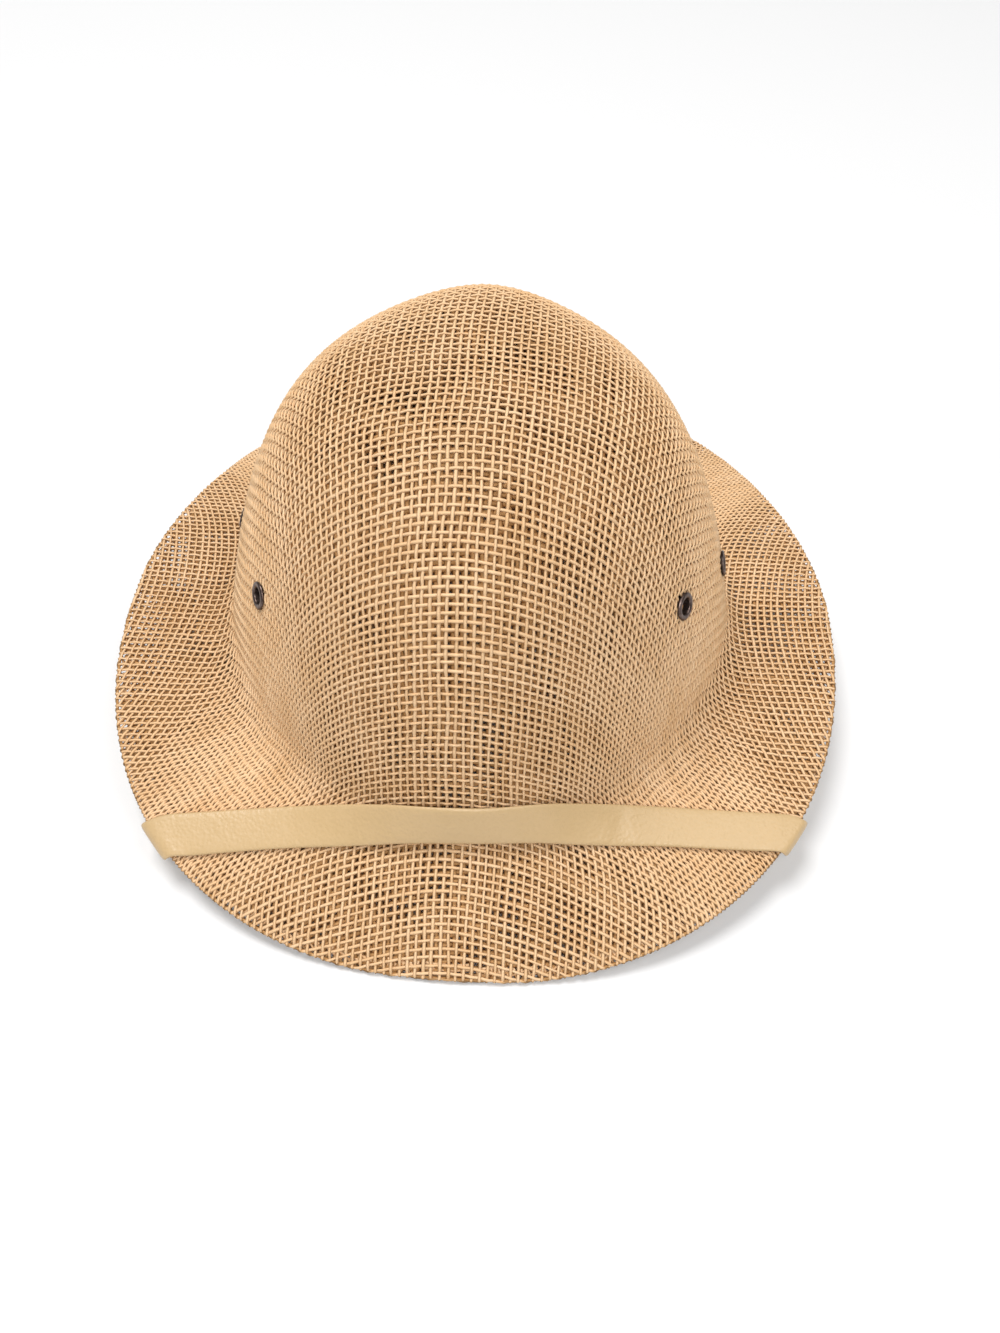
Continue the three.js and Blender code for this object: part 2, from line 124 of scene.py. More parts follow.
# Weave
LAYER_THICKNESS = WALL / 2
FOLD_RADIUS = 0.75  # of the outer layer's middle where it turns round the edge
FOLD_TURN = math.pi * FOLD_RADIUS
FOLD_REACH = 1.25  # from the fold's centre out to the edge
TURN_UNDER = 5.5  # length of outer layer turned under at the edge
INNER_INSET = 0.5  # of the inner layer's end from the fold's line
EDGE_STRAND_SHIFT = 0.25  # of the strand inside the fold, out from the fold's centre
EDGE_STEPS = 640  # points of that strand
NET_STEPS = 108  # strands counted from the top of the crown
STRAND_SPAN = 9  # crossings over which a strand strays to one side
DRIFT_SPAN = 15  # crossings over which an area of cloth drifts
EDGE_PAINTED_SHADE = 4.0  # painted shade along the fold at the edge: how much darker it is, in strand tones
EDGE_SHADE_FROM = (0.05, 0.3)  # shares of the fold's turn where the painted shade begins and is full
EDGE_SHADE_UNDER = 2.0  # length over which it fades underneath
FOLD_MARGIN = 0.3  # to each side of the fold where a strand gets more points
FOLD_SAMPLES = 8  # points a pitch there
FOLD_SQUEEZE = 0.5  # of a strand's rise and fall where it turns round the edge
THICKNESS_SPREAD = 0.07  # from strand to strand
SWELL = 0.05  # along a strand
END_SPREAD = 0.4  # of the places where strands end
SHORTEST_RUN = 3  # points
NET_SPARE = 1.0  # length of the net past the ends of its strands
OUTER_SIDES = 4
OUTER_SAMPLES = 2  # points a pitch
INNER_SIDES = 3
INNER_SAMPLES = 1
EDGE_SIDES = 8

# Lamps, in metres
LAMPS = {
    "key": {"place": (-0.8, 0.5, 3.0), "size": 1.5, "share": 1.0},
    "front": {"place": (0.3, -1.9, 2.7), "size": 1.8, "share": 0.9},
    "side": {"place": (1.4, -0.3, 2.6), "size": 1.4, "share": 0.22},
}
LAMP_TARGET = (0, 0, 0.06)

# Camera, from the fit to the photograph
PHOTO_LONG_SIDE = 1333
FOCAL_PIXELS = 1127.8
SENSOR = 36.0
CAMERA_PLACE = (25.38, -319.74, 360.96)
CAMERA_FORWARD = (-0.0353, 0.6299, -0.7759)
CAMERA_ROLL = math.radians(0.83)


def plan_radius(sine, cosine, half_width, front, back, front_power, back_power):
    """Distance from the crown's centre to a plan curve made of two half superellipses."""
    power = np.where(cosine > 0, front_power, back_power)
    reach = np.where(cosine > 0, front, back)
    return (np.abs(sine / half_width) ** power + np.abs(cosine / reach) ** power) ** (-1 / power)


def foot_radius(sine, cosine):
    return plan_radius(sine, cosine, CROWN_HALF_WIDTH, CROWN_FRONT, CROWN_BACK,
                       CROWN_SQUARENESS, CROWN_SQUARENESS)


def edge_radius(sine, cosine):
    return plan_radius(sine, cosine, BRIM_HALF_WIDTH, BRIM_FRONT, BRIM_BACK,
                       BRIM_FRONT_SQUARENESS, BRIM_BACK_SQUARENESS)


def edge_height(sine):
    share = np.clip((np.abs(sine) - FLAT_EDGE_SHARE) / (1 - FLAT_EDGE_SHARE), 0, 1)
    return SIDE_RISE * share ** SIDE_RISE_POWER + EDGE_DEPTH


def polar(x, y):
    """Radius, sine and cosine of the bearing of points seen from above."""
    radius = np.maximum(np.hypot(x, y), NO_LENGTH)
    return radius, x / radius, -y / radius


def bezier(start, corner, end, share):
    return start * (1 - share) ** 2 + corner * 2 * share * (1 - share) + end * share ** 2


def surface_height(x, y):
    """Height of the helmet's outer surface, carried on past the edge at the brim's slope there."""
    x = np.asarray(x, float)
    y = np.asarray(y, float)
    radius, sine, cosine = polar(x, y)
    foot = foot_radius(sine, cosine)
    edge = edge_radius(sine, cosine)
    low = edge_height(sine)
    corner = FOOT_HEIGHT_ENDS + (FOOT_HEIGHT_SIDES - FOOT_HEIGHT_ENDS) * sine ** 2

    def crown(at):
        share = np.clip(at / foot, 0, 1)
        ridge = RIDGE_HEIGHT * np.exp(-(at * sine / RIDGE_SPREAD) ** 2)
        dome = (1 - share ** CROWN_FULLNESS) ** (1 / CROWN_WALL_CURVE)
        return corner + (CROWN_TOP - corner + ridge) * dome

    def brim(at):
        share = (edge - at) / (edge - foot)
        climb = np.where(share > 0, np.abs(share) ** BRIM_DROOP, share / BRIM_DROOP)
        return low + (corner - low) * climb

    flare_share = FLARE / (CROWN_TOP - corner)
    flare_top = foot * (1 - flare_share ** CROWN_WALL_CURVE) ** (1 / CROWN_FULLNESS)
    flare_end = foot + FLARE * np.cos(np.arctan2(corner - low, edge - foot))
    a = flare_top - 2 * foot + flare_end
    b = 2 * (foot - flare_top)
    c = flare_top - radius
    share = np.clip((np.sqrt(np.maximum(b * b - 4 * a * c, 0)) - b) / (2 * a), 0, 1)
    flare = bezier(crown(flare_top), corner, brim(flare_end), share)
    return np.where(radius < flare_top, crown(radius), np.where(radius > flare_end, brim(radius), flare))


def surface_normal(x, y):
    step = NORMAL_STEP
    slope_x = (surface_height(x + step, y) - surface_height(x - step, y)) / (2 * step)
    slope_y = (surface_height(x, y + step) - surface_height(x, y - step)) / (2 * step)
    return unit(np.stack([-slope_x, -slope_y, np.ones_like(slope_x)], axis=-1))


def unit(vectors):
    return vectors / np.maximum(np.linalg.norm(vectors, axis=-1, keepdims=True), NO_LENGTH)


def fold_radius(sine, cosine):
    """Distance from the crown's centre to the line where the outer layer begins to turn round the edge."""
    radius = edge_radius(sine, cosine) - FOLD_REACH
    normal = surface_normal(radius * sine, -radius * cosine)
    lean = normal[..., 0] * sine - normal[..., 1] * cosine
    return radius + lean * (LAYER_THICKNESS / 2 + FOLD_RADIUS)


def past_fold(x, y):
    """How far points lie past the fold's line."""
    radius, sine, cosine = polar(x, y)
    return radius - fold_radius(sine, cosine)


def start_strand(direction_x, direction_y, pitch):
    """Points a pitch apart down from the top of the crown, in a plane seen edge-on from above."""
    points = [(0.0, 0.0, float(surface_height(0.0, 0.0)))]
    reach = 0.0
    for _ in range(NET_STEPS):
        low, high = reach, reach + pitch
        height = points[-1][2]
        for _ in range(HALVINGS):
            middle = (low + high) / 2
            climb = float(surface_height(middle * direction_x, middle * direction_y)) - height
            if (middle - reach) ** 2 + climb ** 2 > pitch ** 2:
                high = middle
            else:
                low = middle
        reach = high
        x, y = reach * direction_x, reach * direction_y
        points.append((x, y, float(surface_height(x, y))))
    return np.array(points)


def crossing_points(a, b, c, pitch):
    """Points on the surface one pitch from a and from b, on the far side from c."""
    points = a + b - c
    for _ in range(SEATING_STEPS):
        normal = surface_normal(points[:, 0], points[:, 1])
        gap = (surface_height(points[:, 0], points[:, 1]) - points[:, 2]) * normal[:, 2]
        points = points + normal * np.clip(gap, -pitch / 2, pitch / 2)[:, None]
    for _ in range(SOLVING_STEPS):
        normal = surface_normal(points[:, 0], points[:, 1])
        from_a, from_b = points - a, points - b
        length_a = np.linalg.norm(from_a, axis=1)
        length_b = np.linalg.norm(from_b, axis=1)
        above = (points[:, 2] - surface_height(points[:, 0], points[:, 1])) * normal[:, 2]
        error = np.stack([length_a - pitch, length_b - pitch, above], axis=1)
        rates = np.stack([from_a / length_a[:, None], from_b / length_b[:, None], normal], axis=1)
        turned = rates.transpose(0, 2, 1)
        damped = turned @ rates + SOLVING_DAMPING * np.eye(3)
        step = np.linalg.solve(damped, -(turned @ error[:, :, None]))[:, :, 0]
        length = np.maximum(np.linalg.norm(step, axis=1), NO_LENGTH)
        points = points + step * np.minimum(1, LONGEST_STEP * pitch / length)[:, None]
    return points


def draped_net(pitch, turn, reach):
    """Crossings of a square mesh pulled down over the helmet, whose threads keep their length while its
    squares shear. Rows and columns of crossings are strands. A crossing further than reach past the fold is
    missing."""
    n = NET_STEPS
    net = np.full((2 * n + 1, 2 * n + 1, 3), np.nan)
    along = (math.cos(turn), math.sin(turn))
    across = (-math.sin(turn), math.cos(turn))
    steps = np.arange(n + 1)
    net[n + steps, n] = start_strand(along[0], along[1], pitch)
    net[n - steps, n] = start_strand(-along[0], -along[1], pitch)
    net[n, n + steps] = start_strand(across[0], across[1], pitch)
    net[n, n - steps] = start_strand(-across[0], -across[1], pitch)
    net[past_fold(net[..., 0], net[..., 1]) > reach] = np.nan
    for total in range(2, 2 * n + 1):
        i = np.arange(max(1, total - n), min(total - 1, n) + 1)
        j = total - i
        quarters = [(sx, sy) for sx in (-1, 1) for sy in (-1, 1)]
        row = np.concatenate([n + sx * i for sx, sy in quarters])
        column = np.concatenate([n + sy * j for sx, sy in quarters])
        row_before = np.concatenate([n + sx * (i - 1) for sx, sy in quarters])
        column_before = np.concatenate([n + sy * (j - 1) for sx, sy in quarters])
        a, b, c = net[row_before, column], net[row, column_before], net[row_before, column_before]
        known = ~np.isnan(a[:, 0] + b[:, 0] + c[:, 0])
        if not known.any():
            break
        points = crossing_points(a[known], b[known], c[known], pitch)
        points[past_fold(points[:, 0], points[:, 1]) > reach] = np.nan
        net[row[known], column[known]] = points
    return net


def smoothed(noise, span):
    """Noise made to change slowly along its second axis, its size kept."""
    window = np.hanning(span + 2)[1:-1]
    window /= np.sqrt((window ** 2).sum())
    return np.stack([np.convolve(line, window, mode="same") for line in noise])


def loosened(net, random, amount, drift):
    """The net with its strands a little out of line and its areas a little adrift, as in a real cloth."""
    along = unit(np.nan_to_num(np.gradient(net, axis=0)))
    across = unit(np.nan_to_num(np.gradient(net, axis=1)))
    shape = net.shape[:2]
    sideways = smoothed(random.standard_normal(shape), STRAND_SPAN)
    lengthways = smoothed(random.standard_normal(shape), STRAND_SPAN).T
    for direction, shift in ((along, sideways), (across, lengthways)):
        areas = smoothed(smoothed(random.standard_normal(shape), DRIFT_SPAN).T, DRIFT_SPAN).T
        net = net + direction * (amount * shift + drift * areas)[..., None]
    return net


def fold_axis(sine, cosine, depth):
    """Centre of a layer's fold at the edge, and the directions up and out of the brim there."""
    line = fold_radius(sine, cosine)
    x, y = line * sine, -line * cosine
    up = surface_normal(x, y)
    out = np.stack([sine, -cosine, np.zeros_like(sine)], axis=-1)
    out = unit(out - up * (out * up).sum(axis=1, keepdims=True))
    return np.stack([x, y, surface_height(x, y)], axis=-1) - up * (depth + FOLD_RADIUS), up, out


def folded(points, normals, depth):
    """Middle of a layer under points of the surface, and the direction out of the layer there. Past the
    fold's line it turns round the edge and runs back underneath."""
    middle = points - normals * depth
    outward = normals.copy()
    past = past_fold(points[:, 0], points[:, 1])
    beyond = past > 0
    if not beyond.any():
        return middle, outward
    _, sine, cosine = polar(points[beyond, 0], points[beyond, 1])
    centre, up, out = fold_axis(sine, cosine, depth)
    angle = np.minimum(past[beyond] / FOLD_RADIUS, math.pi)[:, None]
    under = np.maximum(past[beyond] - FOLD_TURN, 0)[:, None]
    outward[beyond] = up * np.cos(angle) + out * np.sin(angle)
    middle[beyond] = centre + outward[beyond] * FOLD_RADIUS - out * under
    return middle, outward


class StrandMesh:
    """Collects many strands as one mesh, each a thin closed tube."""

    def __init__(self, sides, width, height):
        self.sides = sides
        self.width = width
        self.height = height
        self.points = []
        self.faces = []
        self.tones = []
        self.count = 0

    def add(self, path, outward, widths, tone):
        """Adds one strand, with a width and a tone for each point of its path."""
        rings = len(path)
        tangent = unit(np.gradient(path, axis=0))
        side = unit(np.cross(outward, tangent))
        up = unit(np.cross(tangent, side))
        turn = np.arange(self.sides) * 2 * math.pi / self.sides + math.pi / 2
        ring = (side[:, None] * (np.cos(turn)[None, :, None] * widths[:, None, None] * self.width / 2)
                + up[:, None] * (np.sin(turn)[None, :, None] * self.height / 2))
        self.points.append((path[:, None] + ring).reshape(-1, 3))
        base = self.count + np.arange(rings - 1)[:, None] * self.sides
        k = np.arange(self.sides)[None, :]
        following = (k + 1) % self.sides
        quads = np.stack([base + k, base + following, base + self.sides + following, base + self.sides + k],
                         axis=-1)
        self.faces += quads.reshape(-1, 4).tolist()
        first = [self.count + step for step in range(self.sides)]
        last = [point + (rings - 1) * self.sides for point in first]
        self.faces.append(first[::-1])
        self.faces.append(last)
        self.tones.append(np.repeat(tone, self.sides))
        self.count += rings * self.sides

    def build(self, name):
        points = np.concatenate(self.points) + (0, CENTRE_Y, 0)
        mesh = bpy.data.meshes.new(name)
        mesh.from_pydata((points * MM).tolist(), [], self.faces)
        tone = mesh.attributes.new("tone", "FLOAT", "POINT")
        tone.data.foreach_set("value", np.concatenate(self.tones))
        mesh.polygons.foreach_set("use_smooth", [True] * len(mesh.polygons))
        piece = bpy.data.objects.new(name, mesh)
        bpy.context.scene.collection.objects.link(piece)
        return piece


def eyelet_axes():
    """Seat and outward direction of each eyelet on the crown's wall, from the crown's centre."""
    axes = {}
    for name, eyelet in EYELETS.items():
        bearing, height = math.radians(eyelet["bearing"]), eyelet["height"]
        sine, cosine = math.sin(bearing), math.cos(bearing)
        low, high = 0.0, float(foot_radius(sine, cosine))
        for _ in range(HALVINGS):
            middle = (low + high) / 2
            if surface_height(middle * sine, -middle * cosine) > height:
                low = middle
            else:
                high = middle
        x, y = low * sine, -low * cosine
        normal = surface_normal(np.array([x]), np.array([y]))[0]
        axes[name] = (np.array([x, y, height]), normal)
    return axes


def clear_of_eyelets(points):
    clear = np.ones(len(points), bool)
    for seat, normal in eyelet_axes().values():
        offset = points - seat
        along = offset @ normal
        sideways = np.linalg.norm(offset - along[:, None] * normal, axis=1)
        clear &= (sideways > EYELET_BORE) | (np.abs(along) > EYELET_REACH)
    return clear


def samples_along(past, per_pitch):
    """Places along a strand, counted in crossings and closer together where it turns round the edge."""
    end = len(past) - 1
    places = [np.arange(end * per_pitch + 1) / per_pitch]
    for k in range(end):
        near, far = sorted((past[k], past[k + 1]))
        if far > -FOLD_MARGIN and near < FOLD_TURN + FOLD_MARGIN:
            places.append(k + np.arange(1, FOLD_SAMPLES) / FOLD_SAMPLES)
    return np.unique(np.concatenate(places))


def between(values, places):
    """Points or directions given at each crossing, read at places between them."""
    index = np.arange(len(values))
    return np.stack([np.interp(places, index, values[:, axis]) for axis in range(3)], axis=-1)


def runs_of(indices):
    """Splits rising whole numbers wherever one is left out."""
    return np.split(indices, np.flatnonzero(np.diff(indices) > 1) + 1)


def edge_shaded(tone, past):
    """A strand's tone along its path, darkened with painted shade where it turns round the edge."""
    into_fold = np.interp(past / FOLD_TURN, EDGE_SHADE_FROM, (0, 1))
    out_of_fold = np.interp(past - FOLD_TURN, (0, EDGE_SHADE_UNDER), (1, 0))
    return tone - EDGE_PAINTED_SHADE * into_fold * out_of_fold


def some_strands(net, lengthwise, numbers):
    """The net with only some strands of one direction left in it."""
    part = np.full_like(net, np.nan)
    if lengthwise:
        part[numbers] = net[numbers]
    else:
        part[:, numbers] = net[:, numbers]
    return part


def weave_strands(mesh, net, lengthwise, depth, wave, per_pitch, cut, random):
    """Adds every strand of one direction, passing over and under the strands that it crosses."""
    lines = net if lengthwise else net.transpose(1, 0, 2)
    way = 1 if lengthwise else -1
    for number, line in enumerate(lines):
        tone = random.random()
        thickness = 1 + THICKNESS_SPREAD * random.standard_normal()
        swell = smoothed(random.standard_normal((1, len(line))), STRAND_SPAN)[0]
        for run in runs_of(np.flatnonzero(~np.isnan(line[:, 0]))):
            if len(run) < SHORTEST_RUN:
                continue
            crossings = line[run]
            normals = surface_normal(crossings[:, 0], crossings[:, 1])
            places = samples_along(past_fold(crossings[:, 0], crossings[:, 1]), per_pitch)
            points = between(crossings, places)
            path, outward = folded(points, unit(between(normals, places)), depth)
            rise = way * np.cos(math.pi * (places + run[0] + number))
            past = past_fold(points[:, 0], points[:, 1])
            squeeze = np.where(past > 0, FOLD_SQUEEZE, 1.0)
            path = path + outward * (wave * rise * squeeze)[:, None]
            widths = thickness * (1 + SWELL * np.interp(places, np.arange(len(run)), swell[run]))
            # tones darkened with painted shade where the strand turns round the edge
            tones = edge_shaded(tone, past)
            end = cut + END_SPREAD * random.standard_normal()
            kept = np.flatnonzero(clear_of_eyelets(path) & (past < end))
            for piece in runs_of(kept):
                if len(piece) >= SHORTEST_RUN:
                    mesh.add(path[piece], outward[piece], widths[piece], tones[piece])


class Number:
    """A value that varies over a surface, carried by a socket. Its operators add Math nodes."""

    def __init__(self, finish, socket):
        self.finish = finish
        self.socket = socket

    def maths(self, operation, first, second=0.0):
        node = self.finish.add("ShaderNodeMath", {"operation": operation}, {0: first, 1: second})
        return Number(self.finish, node.outputs[0])

    def __add__(self, other):
        return self.maths("ADD", self, other)

    def __sub__(self, other):
        return self.maths("SUBTRACT", self, other)

    def __mul__(self, other):
        return self.maths("MULTIPLY", self, other)

    def __rsub__(self, other):
        return self.maths("SUBTRACT", other, self)

    __radd__ = __add__
    __rmul__ = __mul__


class Finish:
    """A material, and the nodes that make it."""

    def __init__(self, name):
        self.material = bpy.data.materials.new(name)
        self.material.use_nodes = True
        self.nodes = self.material.node_tree.nodes
        self.links = self.material.node_tree.links
        self.shader = self.nodes["Principled BSDF"]
        self.place = self.add("ShaderNodeTexCoord").outputs["Object"]

    def add(self, kind, settings=None, inputs=None):
        node = self.nodes.new(kind)
        for name, value in (settings or {}).items():
            setattr(node, name, value)
        for name, value in (inputs or {}).items():
            self.feed(node.inputs[name], value)
        return node

    def feed(self, socket, value):
        if isinstance(value, Number):
            value = value.socket
        if isinstance(value, bpy.types.NodeSocket):
            self.links.new(value, socket)
        else:
            socket.default_value = value

    def attribute(self, name):
        return Number(self, self.add("ShaderNodeAttribute", {"attribute_name": name}).outputs["Fac"])

    def noise(self, scale, detail=3.0, roughness=0.5):
        node = self.add("ShaderNodeTexNoise", None, {
            "Vector": self.place, "Scale": scale, "Detail": detail, "Roughness": roughness})
        return Number(self, node.outputs["Fac"])

    def mixed(self, share, first, second):
        node = self.add("ShaderNodeMix", {"data_type": "RGBA", "clamp_factor": True}, {
            "Factor": share, 6: first, 7: second})
        return node.outputs[2]

    def bump(self, height, distance, strength=1.0):
        node = self.add("ShaderNodeBump", None, {
            "Height": height, "Distance": distance, "Strength": strength})
        return node.outputs["Normal"]

    def set(self, **values):
        for name, value in values.items():
            self.feed(self.shader.inputs[name.replace("_", " ").title()], value)


def opaque(colour):
    return (colour[0], colour[1], colour[2], 1.0)


def straw_finish(name, edge_shade, dark, light):
    """Twisted paper straw: strand by strand a little lighter or darker, flecked, and darkened round the edge
    with painted shade.
    """
    finish = Finish(name)
    tone = finish.attribute("tone")
    cloud = finish.noise(45.0, 3.0)
    fleck = finish.noise(900.0, 2.0)
    shade = tone * 0.35 + cloud * 0.7 + fleck * 0.35 - 0.2
    unshaded = finish.mixed(shade, opaque(dark), opaque(light))
    finish.set(
        # strands turned round the edge mix towards the painted shade colour
        base_color=finish.mixed(0.0 - shade, unshaded, opaque(edge_shade)),
        roughness=0.55 + fleck * 0.25,
        normal=finish.bump(fleck, 0.00012, 0.5),
    )
    finish.shader.inputs["Specular IOR Level"].default_value = 0.35
    return finish.material


def strap_finish(settings):
    """Satin band with a pebbled grain, rubbed smoother in places."""
    finish = Finish("strap")
    cloud = finish.noise(28.0, 3.0)
    cells = finish.add("ShaderNodeTexVoronoi", {"feature": "SMOOTH_F1"}, {
        "Vector": finish.place, "Scale": 900.0, "Randomness": 1.0})
    grain = Number(finish, cells.outputs["Distance"]) + finish.noise(500.0, 4.0) * 0.8
    rub = finish.noise(160.0, 4.0, 0.6)
    finish.set(
        base_color=finish.mixed(cloud * 0.7 + rub * 0.4 + grain * 0.25 - 0.3,
                                opaque(settings.strap_dark), opaque(settings.strap_light)),
        roughness=0.3 + rub * 0.16,
        normal=finish.bump(grain, 0.00016, 0.8),
    )
    return finish.material


def eyelet_finish(settings):
    """Dark plated metal, rubbed lighter in places."""
    finish = Finish("eyelet")
    rub = finish.noise(420.0, 4.0, 0.6)
    wear = (rub - 0.45) * 3.0
    finish.set(
        base_color=finish.mixed(wear, opaque(settings.metal_dark), opaque(settings.metal_light)),
        roughness=0.26 + rub * 0.22,
        normal=finish.bump(rub, 0.00003, 0.4),
    )
    finish.shader.inputs["Metallic"].default_value = 0.9
    return finish.material


def lone(piece):
    """Selects one object and makes it active."""
    bpy.ops.object.select_all(action="DESELECT")
    piece.select_set(True)
    bpy.context.view_layer.objects.active = piece


def copy_of_node(node, name):
    """A copy of a CAD node with its loose triangles merged and turned back into quads."""
    bpy.ops.object.select_all(action="DESELECT")
    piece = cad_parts[node].copy()
    piece.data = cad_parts[node].data.copy()
    piece.name = name
    piece.parent = None
    for key in list(piece.keys()):
        del piece[key]
    bpy.context.scene.collection.objects.link(piece)
    lone(piece)
    bpy.ops.object.mode_set(mode="EDIT")
    bpy.ops.mesh.select_all(action="SELECT")
    bpy.ops.mesh.remove_doubles(threshold=MERGE_DISTANCE * MM)
    bpy.ops.mesh.tris_convert_to_quads(face_threshold=QUAD_ANGLE, shape_threshold=QUAD_ANGLE)
    bpy.ops.object.mode_set(mode="OBJECT")
    return piece


def finish_piece(piece, material):
    piece.data.materials.clear()
    piece.data.materials.append(material)
    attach(piece, BODY)


class HelmetWeave(bpy.types.PropertyGroup):
    pitch: bpy.props.FloatProperty(
        name="Pitch", description="Distance between strands", default=2.72 * MM, min=MM, unit="LENGTH")
    strand_width: bpy.props.FloatProperty(
        name="Strand width", description="Width of a pressed strand", default=1.1 * MM, unit="LENGTH")
    strand_height: bpy.props.FloatProperty(
        name="Strand height", description="Height of a pressed strand", default=0.74 * MM, unit="LENGTH")
    inner_pitch: bpy.props.FloatProperty(
        name="Inner pitch", description="Distance between strands of the inner layer",
        default=2.8 * MM, min=MM, unit="LENGTH")
    inner_width: bpy.props.FloatProperty(
        name="Inner strand width", description="Width of a strand of the inner layer",
        default=2.35 * MM, unit="LENGTH")
    edge_strand: bpy.props.FloatProperty(
        name="Edge strand", description="Thickness of the strand inside the fold at the edge",
        default=1.05 * MM, unit="LENGTH")
    inner_turn: bpy.props.FloatProperty(
        name="Inner turn", description="Angle between the two layers", default=math.radians(3.2),
        subtype="ANGLE")
    looseness: bpy.props.FloatProperty(
        name="Looseness", description="How far strands stray from their line", default=0.12 * MM,
        unit="LENGTH")
    drift: bpy.props.FloatProperty(
        name="Drift", description="How far areas of the outer layer drift", default=0.25 * MM,
        unit="LENGTH")
    inner_drift: bpy.props.FloatProperty(
        name="Inner drift", description="How far areas of the inner layer drift", default=0.8 * MM,
        unit="LENGTH")
    seed: bpy.props.IntProperty(name="Seed", description="Start of the random draws", default=7)


class HelmetColours(bpy.types.PropertyGroup):
    straw_light: bpy.props.FloatVectorProperty(
        name="Light straw", description="Lighter strands", subtype="COLOR", size=3,
        default=(0.87, 0.62, 0.385))
    straw_dark: bpy.props.FloatVectorProperty(
        name="Dark straw", description="Darker strands", subtype="COLOR", size=3, default=(0.68, 0.41, 0.19))
    # painted shade for the fold turned under at the brim's edge
    straw_edge_shade: bpy.props.FloatVectorProperty(
        name="Painted edge shade", description="Straw along the edge", subtype="COLOR", size=3,
        default=(0.2, 0.11, 0.045))
    # The inner layer is the same straw as the outer one: its colours are darkened with painted shade for the
    # shade between the two layers and inside the crown.
    shaded_inner_light: bpy.props.FloatVectorProperty(
        name="Inner straw", description="Lighter strands of the inner layer", subtype="COLOR", size=3,
        default=(0.62, 0.36, 0.15))
    shaded_inner_dark: bpy.props.FloatVectorProperty(
        name="Dark inner straw", description="Darker strands of the inner layer", subtype="COLOR", size=3,
        default=(0.35, 0.17, 0.05))
    strap_light: bpy.props.FloatVectorProperty(
        name="Light strap", description="Strap, lighter areas", subtype="COLOR", size=3,
        default=(0.615, 0.435, 0.235))
    strap_dark: bpy.props.FloatVectorProperty(
        name="Dark strap", description="Strap, darker areas", subtype="COLOR", size=3,
        default=(0.535, 0.37, 0.18))
    metal_light: bpy.props.FloatVectorProperty(
        name="Rubbed metal", description="Eyelets where rubbed", subtype="COLOR", size=3,
        default=(0.30, 0.22, 0.19))
    metal_dark: bpy.props.FloatVectorProperty(
        name="Dark metal", description="Eyelets", subtype="COLOR", size=3, default=(0.10, 0.07, 0.06))


class HelmetFittings(bpy.types.PropertyGroup):
    strap_border: bpy.props.FloatProperty(
        name="Strap border", description="Width of the lower border along the strap", default=1.3 * MM,
        unit="LENGTH")
    strap_padding: bpy.props.FloatProperty(
        name="Strap padding", description="How far the strap's middle stands above its borders",
        default=0.3 * MM, unit="LENGTH")
    eyelet_radius: bpy.props.FloatProperty(
        name="Eyelet radius", description="Outer radius of an eyelet's flange", default=4.9 * MM,
        unit="LENGTH")
    eyelet_hole: bpy.props.FloatProperty(
        name="Eyelet hole", description="Radius of an eyelet's hole", default=2.9 * MM, unit="LENGTH")


class HelmetStage(bpy.types.PropertyGroup):
    floor_size: bpy.props.FloatProperty(
        name="Floor size", description="Width of the floor", default=8.0, unit="LENGTH")
    floor_colour: bpy.props.FloatVectorProperty(
        name="Floor colour", description="Colour of the floor", subtype="COLOR", size=3,
        default=(0.8, 0.8, 0.8))
    daylight: bpy.props.FloatProperty(
        name="Daylight", description="Strength of the light from all round", default=0.15)
    key_power: bpy.props.FloatProperty(
        name="Key light", description="Power of the main lamp in watts", default=68.0)


class HELMET_OT_weave_outer(bpy.types.Operator):
    """Weave the outer layer of straw, turned under along the edge of the brim"""
    bl_idname = "helmet.weave_outer"
    bl_label = "Weave outer layer"

    def execute(self, context):
        weave = context.scene.helmet_weave
        random = np.random.default_rng(weave.seed)
        net = draped_net(weave.pitch / MM, 0.0, FOLD_TURN + TURN_UNDER)
        net = loosened(net, random, weave.looseness / MM, weave.drift / MM)
        colours = context.scene.helmet_colours
        material = straw_finish("straw", colours.straw_edge_shade, colours.straw_dark, colours.straw_light)
        width, height = weave.strand_width / MM, weave.strand_height / MM
        wave = (LAYER_THICKNESS - height) / 2
        halves = {"low": slice(0, NET_STEPS), "high": slice(NET_STEPS, 2 * NET_STEPS + 1)}
        for lengthwise in (True, False):
            for half, numbers in halves.items():
                strands = StrandMesh(OUTER_SIDES, width, height)
                part = some_strands(net, lengthwise, numbers)
                weave_strands(strands, part, lengthwise, LAYER_THICKNESS / 2, wave, OUTER_SAMPLES,
                              FOLD_TURN + TURN_UNDER - NET_SPARE, random)
                way = "along" if lengthwise else "across"
                piece = strands.build(f"straw_outer_{way}_{half}")
                finish_piece(piece, material)
                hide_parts("shell")
        return {"FINISHED"}


class HELMET_OT_weave_inner(bpy.types.Operator):
    """Weave the inner layer of straw, which lies a little turned under the outer one"""
    bl_idname = "helmet.weave_inner"
    bl_label = "Weave inner layer"

    def execute(self, context):
        weave = context.scene.helmet_weave
        random = np.random.default_rng(weave.seed + 1)
        net = draped_net(weave.inner_pitch / MM, weave.inner_turn, 0.0)
        net = loosened(net, random, weave.looseness / MM, weave.inner_drift / MM)
        colours = context.scene.helmet_colours
        # the outer layer's straw, darkened with painted shade
        material = straw_finish("straw_inner_shaded", colours.straw_edge_shade, colours.shaded_inner_dark, colours.shaded_inner_light)
        width, height = weave.inner_width / MM, weave.strand_height / MM
        for lengthwise in (True, False):
            strands = StrandMesh(INNER_SIDES, width, height)
            weave_strands(strands, net, lengthwise, LAYER_THICKNESS * 1.5,
                          (LAYER_THICKNESS - height) / 2, INNER_SAMPLES, -INNER_INSET, random)
            way = "along" if lengthwise else "across"
            piece = strands.build(f"straw_inner_shaded_{way}")
            finish_piece(piece, material)
            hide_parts("shell")
        return {"FINISHED"}


